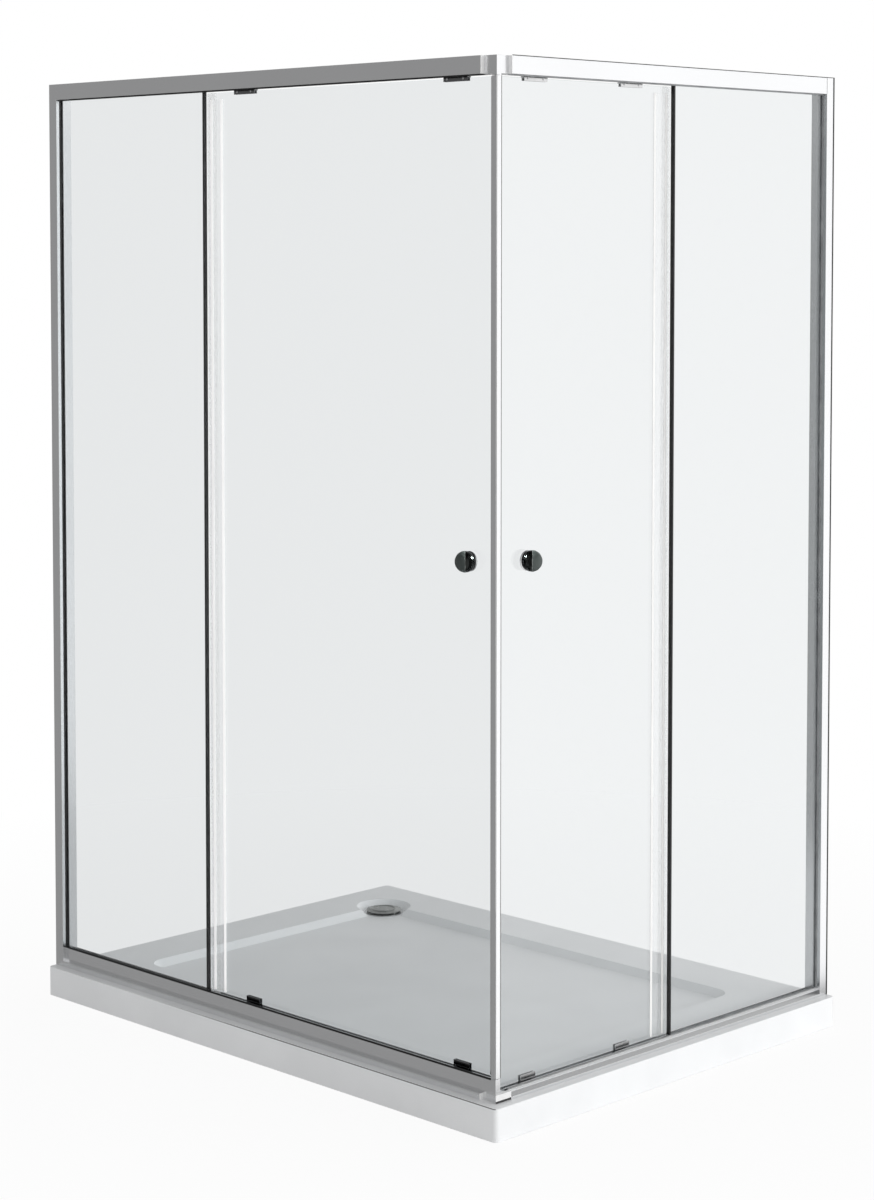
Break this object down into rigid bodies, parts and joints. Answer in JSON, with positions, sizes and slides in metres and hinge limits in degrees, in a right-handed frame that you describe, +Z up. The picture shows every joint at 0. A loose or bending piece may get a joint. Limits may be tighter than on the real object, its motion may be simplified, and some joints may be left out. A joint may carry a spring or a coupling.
{
  "type": "corner shower enclosure with sliding doors",
  "caption": "Corner-entry shower enclosure on a low tray: fixed glass at the walls, sliding glass doors that close on the corner, hung on rollers in the top rails.",
  "frame": {"origin": "centre of the tray's underside", "axes": "+Z up; the long front wing faces -Y, the short side wing faces +X, the walls stand at -X and +Y"},
  "size_m": [1.306, 0.992, 1.91],
  "materials": {
    "tray_white": "satin white stone resin",
    "waste_steel": "satin",
    "drain_metal": "satin grey",
    "aluminium": "satin silver",
    "corner_metal": "satin silver",
    "screw_steel": "bright",
    "axle_steel": "bright",
    "glass": "clear toughened",
    "gasket_rubber": "matt black",
    "stop_rubber": "matt black",
    "magnet_strip": "satin black",
    "clear_seal": "clear",
    "clear_washer": "clear",
    "knob_metal": "polished black nickel",
    "rosette_metal": "polished",
    "hanger_metal": "satin dark grey",
    "roller_nylon": "nylon",
    "guide_plastic": "dark plastic"
  },
  "bodies": {
    "enclosure": {"shower_tray": "tray_white", "drain_flange": "waste_steel", "front_wall_profile": "aluminium", "front_post": "aluminium", "front_top_rail": "aluminium", "front_post_screws": "screw_steel", "front_fixed_glass": "glass", "front_glazing_gaskets": "gasket_rubber", "front_fixed_edge_seal": "gasket_rubber", "front_door_stop": "stop_rubber", "side_wall_profile": "aluminium", "side_post": "aluminium", "side_top_rail": "aluminium", "side_post_screws": "screw_steel", "side_fixed_glass": "glass", "side_glazing_gaskets": "gasket_rubber", "side_fixed_edge_seal": "gasket_rubber", "side_door_stop": "stop_rubber", "front_sill": "aluminium", "side_sill": "aluminium", "corner_block_top": "corner_metal", "corner_block_bottom": "corner_metal", "corner_screws": "screw_steel"},
    "front_door": {"front_door_glass": "glass", "front_closing_profile": "aluminium", "front_magnet_strip": "magnet_strip", "front_trailing_seal": "clear_seal", "front_outer_knob": "knob_metal", "front_inner_knob": "knob_metal", "front_knob_rosettes": "rosette_metal", "front_knob_stud": "screw_steel", "front_knob_washers": "clear_washer", "front_roller_hangers": "hanger_metal", "front_hanger_screws": "screw_steel", "front_roller_axles": "axle_steel", "front_bottom_guides": "guide_plastic"},
    "side_door": {"side_door_glass": "glass", "side_closing_profile": "aluminium", "side_magnet_strip": "magnet_strip", "side_trailing_seal": "clear_seal", "side_outer_knob": "knob_metal", "side_inner_knob": "knob_metal", "side_knob_rosettes": "rosette_metal", "side_knob_stud": "screw_steel", "side_knob_washers": "clear_washer", "side_roller_hangers": "hanger_metal", "side_hanger_screws": "screw_steel", "side_roller_axles": "axle_steel", "side_bottom_guides": "guide_plastic"},
    "drain_cover": {"drain_cover": "drain_metal"},
    "front_roller_lead": {"front_roller_lead": "roller_nylon"},
    "front_roller_trail": {"front_roller_trail": "roller_nylon"},
    "side_roller_lead": {"side_roller_lead": "roller_nylon"},
    "side_roller_trail": {"side_roller_trail": "roller_nylon"}
  },
  "joints": [
    {"name": "front_door_slide", "type": "slide", "parent": "enclosure", "child": "front_door", "axis": [-1, 0, 0], "range_m": [0, 0.43]},
    {"name": "side_door_slide", "type": "slide", "parent": "enclosure", "child": "side_door", "axis": [0, 1, 0], "range_m": [0, 0.358]},
    {"name": "drain_cover_lift", "type": "slide", "parent": "enclosure", "child": "drain_cover", "axis": [0, 0, 1], "range_m": [0, 0.08]},
    {"name": "front_roller_lead_spin", "type": "hinge", "parent": "front_door", "child": "front_roller_lead", "pos_m": [0.509, -0.44325, 1.8916], "axis": [0, -1, 0], "continuous": true},
    {"name": "front_roller_trail_spin", "type": "hinge", "parent": "front_door", "child": "front_roller_trail", "pos_m": [-0.062, -0.44325, 1.8916], "axis": [0, -1, 0], "continuous": true},
    {"name": "side_roller_lead_spin", "type": "hinge", "parent": "side_door", "child": "side_roller_lead", "pos_m": [0.60025, -0.352, 1.8916], "axis": [-1, 0, 0], "continuous": true},
    {"name": "side_roller_trail_spin", "type": "hinge", "parent": "side_door", "child": "side_roller_trail", "pos_m": [0.60025, -0.093, 1.8916], "axis": [-1, 0, 0], "continuous": true}
  ],
  "couplings": [
    {"joint": "front_roller_lead_spin", "follows": "front_door_slide", "rad_per_m": 105.26},
    {"joint": "front_roller_trail_spin", "follows": "front_door_slide", "rad_per_m": 105.26},
    {"joint": "side_roller_lead_spin", "follows": "side_door_slide", "rad_per_m": 105.26},
    {"joint": "side_roller_trail_spin", "follows": "side_door_slide", "rad_per_m": 105.26}
  ]
}
